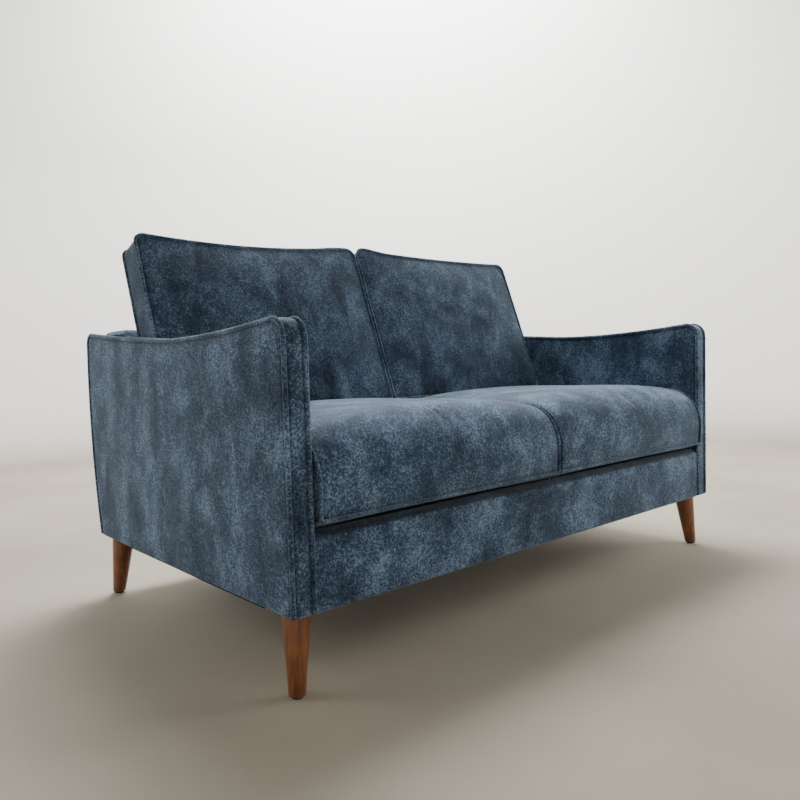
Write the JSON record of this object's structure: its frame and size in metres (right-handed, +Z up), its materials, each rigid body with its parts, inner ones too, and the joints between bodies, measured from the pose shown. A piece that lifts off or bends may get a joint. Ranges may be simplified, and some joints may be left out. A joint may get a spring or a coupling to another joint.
{
  "type": "sofa",
  "caption": "Compact two-seat sofa with thin upholstered arms, loose seat and back cushions in blue chenille, and splayed tapered wooden legs.",
  "frame": {"origin": "on the floor, under the middle of the sofa's plan", "axes": "+Z up, the front of the seat faces -Y, +X is to the right as seen from in front of it"},
  "size_m": [1.5, 0.9719, 0.9239],
  "materials": {
    "chenille": "brushed woven chenille, matt",
    "platform_cloth": "plain woven lining cloth, matt",
    "cambric": "spunbonded dust cover, matt",
    "webbing": "woven elastic webbing",
    "foam": "cut polyurethane foam",
    "fibre_filling": "hollow polyester fibre in a white inner",
    "leg_wood": "stained and satin lacquered beech",
    "frame_timber": "planed pine, unfinished",
    "hardboard": "pressed hardboard",
    "zinc_steel": "bright zinc plated",
    "glide_plastic": "moulded black polythene"
  },
  "bodies": {
    "frame": {"leg_front_left": "leg_wood", "hanger_bolt_front_left": "zinc_steel", "foot_glide_front_left": "glide_plastic", "leg_block_front_left": "frame_timber", "leg_front_right": "leg_wood", "hanger_bolt_front_right": "zinc_steel", "foot_glide_front_right": "glide_plastic", "leg_block_front_right": "frame_timber", "leg_rear_left": "leg_wood", "hanger_bolt_rear_left": "zinc_steel", "foot_glide_rear_left": "glide_plastic", "leg_block_rear_left": "frame_timber", "leg_rear_right": "leg_wood", "hanger_bolt_rear_right": "zinc_steel", "foot_glide_rear_right": "glide_plastic", "leg_block_rear_right": "frame_timber", "front_rail": "frame_timber", "rear_rail": "frame_timber", "centre_rail": "frame_timber", "side_rail_left": "frame_timber", "seat_strap_left_1": "webbing", "seat_strap_left_2": "webbing", "seat_strap_left_3": "webbing", "arm_front_post_left": "frame_timber", "arm_rear_post_left": "frame_timber", "arm_bottom_rail_left": "frame_timber", "arm_top_rail_left": "frame_timber", "arm_padding_left": "foam", "arm_cover_left": "chenille", "side_rail_right": "frame_timber", "seat_strap_right_1": "webbing", "seat_strap_right_2": "webbing", "seat_strap_right_3": "webbing", "arm_front_post_right": "frame_timber", "arm_rear_post_right": "frame_timber", "arm_bottom_rail_right": "frame_timber", "arm_top_rail_right": "frame_timber", "arm_padding_right": "foam", "arm_cover_right": "chenille", "seat_deck": "platform_cloth", "front_rail_cover": "chenille", "dust_cover": "cambric", "inside_back_cover": "chenille", "outside_back_cover": "chenille", "back_padding": "foam", "back_top_rail": "frame_timber", "back_lower_rail": "frame_timber", "back_panel": "hardboard"},
    "seat_cushion_left": {"seat_cushion_cover_left": "chenille", "seat_cushion_core_left": "foam"},
    "seat_zip_left": {"seat_zip_slider_left": "zinc_steel"},
    "seat_cushion_right": {"seat_cushion_cover_right": "chenille", "seat_cushion_core_right": "foam"},
    "seat_zip_right": {"seat_zip_slider_right": "zinc_steel"},
    "back_cushion_left": {"back_cushion_cover_left": "chenille", "back_cushion_core_left": "fibre_filling"},
    "back_zip_left": {"back_zip_slider_left": "zinc_steel"},
    "back_cushion_right": {"back_cushion_cover_right": "chenille", "back_cushion_core_right": "fibre_filling"},
    "back_zip_right": {"back_zip_slider_right": "zinc_steel"}
  },
  "joints": [
    {"name": "seat_cushion_left_slide", "type": "slide", "parent": "frame", "child": "seat_cushion_left", "axis": [0, -1, 0], "range_m": [0, 0.68]},
    {"name": "back_cushion_left_lift", "type": "slide", "parent": "frame", "child": "back_cushion_left", "axis": [0, 0.3469, 0.9379], "range_m": [0, 0.4]},
    {"name": "seat_zip_left_slide", "type": "slide", "parent": "seat_cushion_left", "child": "seat_zip_left", "axis": [1, 0, 0], "range_m": [0, 0.488]},
    {"name": "back_zip_left_slide", "type": "slide", "parent": "back_cushion_left", "child": "back_zip_left", "axis": [1, 0, 0], "range_m": [0, 0.488]},
    {"name": "seat_cushion_right_slide", "type": "slide", "parent": "frame", "child": "seat_cushion_right", "axis": [0, -1, 0], "range_m": [0, 0.68]},
    {"name": "back_cushion_right_lift", "type": "slide", "parent": "frame", "child": "back_cushion_right", "axis": [0, 0.3469, 0.9379], "range_m": [0, 0.4]},
    {"name": "seat_zip_right_slide", "type": "slide", "parent": "seat_cushion_right", "child": "seat_zip_right", "axis": [-1, 0, 0], "range_m": [0, 0.488]},
    {"name": "back_zip_right_slide", "type": "slide", "parent": "back_cushion_right", "child": "back_zip_right", "axis": [-1, 0, 0], "range_m": [0, 0.488]}
  ]
}
